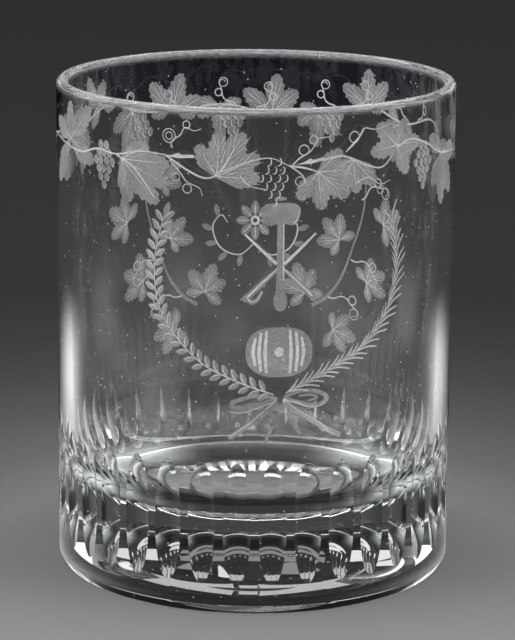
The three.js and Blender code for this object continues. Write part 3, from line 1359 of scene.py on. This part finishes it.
    def _true_normals(self, mesh: bpy.types.Mesh) -> None:
        """Give the plain wall the normals of a true cylinder."""
        zones = mesh.attributes["zone"].data
        normals = [Vector((0, 0, 0))] * len(mesh.loops)
        round_zones = {Zone.WALL.value, Zone.MATT.value, Zone.CUT.value}
        for face in mesh.polygons:
            if zones[face.index].value in round_zones:
                for loop in face.loop_indices:
                    place = mesh.vertices[mesh.loops[loop].vertex_index].co
                    normals[loop] = Vector((place.x, place.y, 0)).normalized()
        mesh.normals_split_custom_set(normals)


@dataclass(frozen=True)
class PhotoCamera:
    """The camera, fitted to the beaker's outline in the photograph."""

    distance: float = 0.6457
    height: float = 0.2111
    pitch: float = 13.53
    yaw: float = 0.062
    roll: float = 0.47
    focal_pixels: float = 2893.7
    image_height: int = 640
    sensor: float = 36
    nearest: float = 0.01

    def build(self) -> bpy.types.Object:
        """Make the camera and make it the scene's own."""
        data = bpy.data.cameras.new("camera")
        camera = bpy.data.objects.new("camera", data)
        bpy.context.scene.collection.objects.link(camera)
        pitch, yaw, roll = (math.radians(angle) for angle in (self.pitch, self.yaw, self.roll))
        ahead = Vector((math.sin(yaw) * math.cos(pitch), math.cos(yaw) * math.cos(pitch), -math.sin(pitch)))
        right = ahead.cross(Vector((0, 0, 1))).normalized()
        up = right.cross(ahead)
        side = right * math.cos(roll) + up * math.sin(roll)
        top = up * math.cos(roll) - right * math.sin(roll)
        turn = Matrix((side, top, -ahead)).transposed().to_4x4()
        camera.matrix_world = Matrix.Translation((0, -self.distance, self.height)) @ turn
        data.sensor_fit = "AUTO"
        data.sensor_width = self.sensor
        data.lens = self.focal_pixels / self.image_height * self.sensor
        data.clip_start = self.nearest
        bpy.context.scene.camera = camera
        return camera


@dataclass(frozen=True)
class GreyTable:
    """The table's finish: pale round the glass, and dim further off.

    The camera sees it so. Every other ray, such as one that has passed through the
    glass, sees painted light in place of what the glass gathers there: bright sides and
    rear under the base, and a bright wing behind each side of it, with painted shadow
    between them and round the glass. A pair holds where a soft step begins and ends, in
    metres, or for sideways ones as a share of the distance.
    """

    # Painted pool of light: grey level by distance from the axis.
    light_pool: tuple[Spot, ...] = (
        (0.0, 0.135), (0.056, 0.138), (0.066, 0.146), (0.095, 0.100), (0.131, 0.067), (0.17, 0.045),
        (0.215, 0.033), (0.27, 0.0255), (0.47, 0.022), (0.94, 0.020),
    )
    # Painted light, paler still in front of the glass.
    fore_back: Spot = (-0.062, -0.005)
    fore_reach: Spot = (0.09, 0.25)
    fore_grey: float = 0.2
    tint: Triple = (0.0, 0.001, 0.003)
    foot: float = 0.0455
    front: Spot = (-0.035, -0.005)
    under_grey: float = 0.02
    middle: Spot = (0.024, 0.030)
    middle_level: float = 0.25
    ring: Spot = (0.025, 0.037)
    ring_sides: Spot = (0.28, 0.60)
    ring_level: float = 0.98
    ring_least: float = 0.01
    toe_start: Spot = (0.024, 0.028)
    toe_end: Spot = (0.038, 0.041)
    toe_level: float = 0.09
    rear: Spot = (0.037, 0.042)
    rear_level: float = 0.30
    wing: Spot = (0.50, 0.82)
    wing_hinge: float = 0.13
    wing_slope: float = 0.6
    wing_level: float = 0.60
    right_side: Spot = (-0.05, 0.05)
    right_drop: float = 0.09
    abeam_sides: Spot = (0.84, 0.95)
    abeam_reach: Spot = (0.145, 0.17)
    abeam_drop: float = 0.8
    inner: Spot = (0.12, 0.17)
    inner_rise: float = 0.3
    inner_least: float = 0.7
    nearby: Spot = (0.20, 0.29)
    front_level: float = 0.20
    round_grey: float = 0.035
    far: Spot = (0.35, 0.70)
    far_drop: float = 0.032
    close: Spot = (0.07, 0.20)
    close_drop: float = 0.012
    at_foot: Spot = (0.052, 0.070)
    foot_rise: float = 0.008

    def material(self) -> bpy.types.Material:
        """Return the material."""
        material, nodes = new_material("grey_table")
        place = nodes.add("ShaderNodeTexCoord", out="Object")
        reach = nodes.add("ShaderNodeVectorMath", {"operation": "LENGTH"}, {0: place}, out="Value")
        sideways = nodes.axis(place, "X")
        back = nodes.axis(place, "Y")
        front = nodes.fade(back, *self.front)
        aside = (sideways * sideways) ** 0.5 / (reach + MM)
        under = self._under(nodes, reach, aside, front)
        beyond = self._beyond(nodes, reach, aside, front, sideways)
        # Painted light and shadow that stand for what the glass gathers on the table.
        caught = nodes.mix_colour(reach.above(self.foot), under, beyond)
        caught = nodes.mix_colour(1.0, caught, (*self.tint, 1), "ADD")
        seen = nodes.add("ShaderNodeLightPath", out="Is Camera Ray")
        grey = nodes.mix_colour(seen, caught, self._painted_light_pool(nodes, reach, back))
        table = {"Base Color": grey, "Roughness": 1.0, "Specular IOR Level": 0.0}
        nodes.output(nodes.add("ShaderNodeBsdfPrincipled", None, table))
        return material

    def _painted_light_pool(self, nodes: Nodes, reach: Value, back: Value) -> Value:
        """Return the table's grey with its painted pool of light, a little paler in front of the glass."""
        # The painted pool of light, painted paler still in front of the glass.
        light_pool = nodes.add("ShaderNodeValToRGB", {"stops": self.light_pool}, {"Fac": reach})
        fore = nodes.fade(back, *self.fore_back) * nodes.fade(reach, *self.fore_reach)
        return nodes.mix_colour(fore, light_pool, grey_colour(self.fore_grey))

    def _under(self, nodes: Nodes, reach: Value, aside: Value, front: Value) -> Value:
        """Return the light caught under the base.

        Args:
            nodes: The material's tree.
            reach: The distance from the axis.
            aside: How far sideways the place lies, as a share of that distance.
            front: 1 on the camera's side of the glass, and 0 behind.

        Returns:
            The grey level.
        """
        behind = 1.0 - front
        middle = nodes.fade(reach, *self.middle) * behind * self.middle_level
        sides = nodes.soft(aside, *self.ring_sides) * self.ring_level + self.ring_least
        edges = nodes.soft(reach, *self.ring) * behind * sides
        toe = nodes.soft(reach, *self.toe_start) * nodes.fade(reach, *self.toe_end) * front
        rear = nodes.soft(reach, *self.rear) * behind * self.rear_level
        return self.under_grey + middle + edges + rear + toe * self.toe_level

    def _beyond(self, nodes: Nodes, reach: Value, aside: Value, front: Value, sideways: Value) -> Value:
        """Return the painted light caught round the glass, with painted shade close to it.

        Args:
            nodes: The material's tree.
            reach: The distance from the axis.
            aside: How far sideways the place lies, as a share of that distance.
            front: 1 on the camera's side of the glass, and 0 behind.
            sideways: The distance to the right of the middle.

        Returns:
            The grey level.
        """
        abeam = nodes.soft(aside, *self.abeam_sides) * nodes.soft(reach, *self.abeam_reach)
        sweep = nodes.soft(aside + (reach - self.wing_hinge) * self.wing_slope, *self.wing)
        level = self.wing_level - nodes.soft(sideways, *self.right_side) * self.right_drop
        wing = sweep * (1.0 - abeam * self.abeam_drop) * level
        inner = nodes.soft(reach, *self.inner) * self.inner_rise + self.inner_least
        spread = (wing * inner).most(front * self.front_level) * nodes.fade(reach, *self.nearby)
        far = nodes.soft(reach, *self.far) * self.far_drop
        # Painted shade close round the glass, and a painted brighter band of light at its foot.
        close = nodes.fade(reach, *self.close) * self.close_drop
        foot = nodes.fade(reach, *self.at_foot) * self.foot_rise
        return self.round_grey - far - close + foot + spread


@dataclass(frozen=True)
class Lamp:
    """One soft lamp that faces the glass, and that the camera doesn't see.

    The bearing round the glass and the slope are in degrees. The level is how bright
    its face is, where 1 is white.
    """

    name: str
    bearing: float
    slope: float
    distance: float
    size: Spot
    level: float
    aim: Triple = (0, 0, 0.03)

    def build(self) -> None:
        """Place the lamp."""
        turn, slope = math.radians(self.bearing), math.radians(self.slope)
        flat = Vector((math.sin(turn), -math.cos(turn), 0)) * math.cos(slope)
        way = (flat + Vector((0, 0, math.sin(slope)))) * self.distance
        spot = Vector(self.aim) + way
        data = bpy.data.lights.new(self.name, "AREA")
        data.shape = "RECTANGLE"
        data.size, data.size_y = self.size
        data.energy = math.pi * self.size[0] * self.size[1] * self.level
        lamp = bpy.data.objects.new(self.name, data)
        lamp.location = spot
        lamp.rotation_euler = (Vector(self.aim) - spot).to_track_quat("-Z", "Y").to_euler()
        lamp.visible_camera = False
        bpy.context.scene.collection.objects.link(lamp)


@dataclass(frozen=True)
class Studio:
    """A grey table in a dim room, with a soft glow from above and both sides, and lamps.

    The glow lights the glass, but the camera doesn't see it. Each side glow is a
    direction and a level.
    """

    floor_size: float = 6.0
    floor_corners: int = 96
    room_grey: float = 0.035
    room_unseen: float = 0.3
    overhead: float = 1.95
    overhead_spread: Spot = (0.5, 1.0)
    side_glows: tuple[tuple[Triple, float], ...] = (
        ((-0.836, 0.073, 0.545), 1.0),
        ((0.854, 0.075, 0.515), 0.98),
    )
    side_spread: Spot = (0.65, 1.0)
    lamps: tuple[Lamp, ...] = (
        Lamp("left_low_softbox", -120, 13, 1.0, (0.6, 0.2), 0.9),
        Lamp("right_low_softbox", 120, 13, 1.0, (0.6, 0.2), 0.8),
        Lamp("left_back_strip", -150, 10.9, 1.2, (0.62, 0.15), 0.85),
        Lamp("back_strip", 180, 10.9, 1.2, (0.54, 0.125), 0.24),
        Lamp("right_back_strip", 151, 10.9, 1.2, (0.56, 0.145), 0.75),
        Lamp("front_softbox", -25, 50, 1.0, (0.7, 0.5), 2.5),
        Lamp("back_high_strip", 180, 48, 1.1, (1.2, 0.12), 5.0),
        Lamp("back_middle_strip", 180, 29.5, 1.2, (1.0, 0.22), 0.48),
    )

    def _floor(self) -> None:
        """Make the table top."""
        bm = bmesh.new()
        bmesh.ops.create_circle(bm, cap_ends=True, segments=self.floor_corners, radius=self.floor_size)
        mesh = bpy.data.meshes.new("floor")
        bm.to_mesh(mesh)
        bm.free()
        floor = bpy.data.objects.new("floor", mesh)
        bpy.context.scene.collection.objects.link(floor)
        mesh.materials.append(GreyTable().material())

    def _room(self) -> None:
        """Make the dim room and its glow."""
        world = bpy.data.worlds.new("room")
        bpy.context.scene.world = world
        nodes = Nodes(world)
        seen = nodes.add("ShaderNodeLightPath", out="Is Camera Ray")
        way = nodes.add("ShaderNodeTexCoord", out="Generated")
        glow = nodes.soft(nodes.axis(way, "Z"), *self.overhead_spread) * self.overhead
        for side, level in self.side_glows:
            dot = {"operation": "DOT_PRODUCT"}
            towards = nodes.add("ShaderNodeVectorMath", dot, {0: way, 1: side}, out="Value")
            glow = glow + nodes.soft(towards, *self.side_spread) * level
        strength = seen * (1.0 - self.room_unseen) + self.room_unseen + glow * (1.0 - seen) / self.room_grey
        room = {"Color": grey_colour(self.room_grey), "Strength": strength}
        nodes.output(nodes.add("ShaderNodeBackground", None, room), "ShaderNodeOutputWorld")

    def build(self) -> None:
        """Make the table, the room and the lamps."""
        self._floor()
        self._room()
        for lamp in self.lamps:
            lamp.build()


def main() -> None:
    """Build the camera, the glass and the studio, in that order."""
    logging.basicConfig(level=logging.INFO, format="%(name)s: %(message)s")
    PhotoCamera().build()
    finishes = [
        ClearGlass().material(),
        GroundGlass("matt_engraving", 0.45, 0.76).material(),
        GroundGlass("deep_engraving", 0.95, 0.96).material(),
    ]
    beaker = Beaker()
    wheel = Engraver()
    VineFrieze(TAU * beaker.radius, beaker.seam).carve(wheel)
    Wreath().carve(wheel)
    CooperTools().carve(wheel)
    BackSprays().carve(wheel)
    log.info("engraving: %d marks", len(wheel.marks))
    glass = beaker.build(wheel.marks, finishes)
    log.info("%s built", glass.name)
    Studio().build()
    bpy.context.scene.view_settings.view_transform = "Standard"


if __name__ == "__main__":
    main()
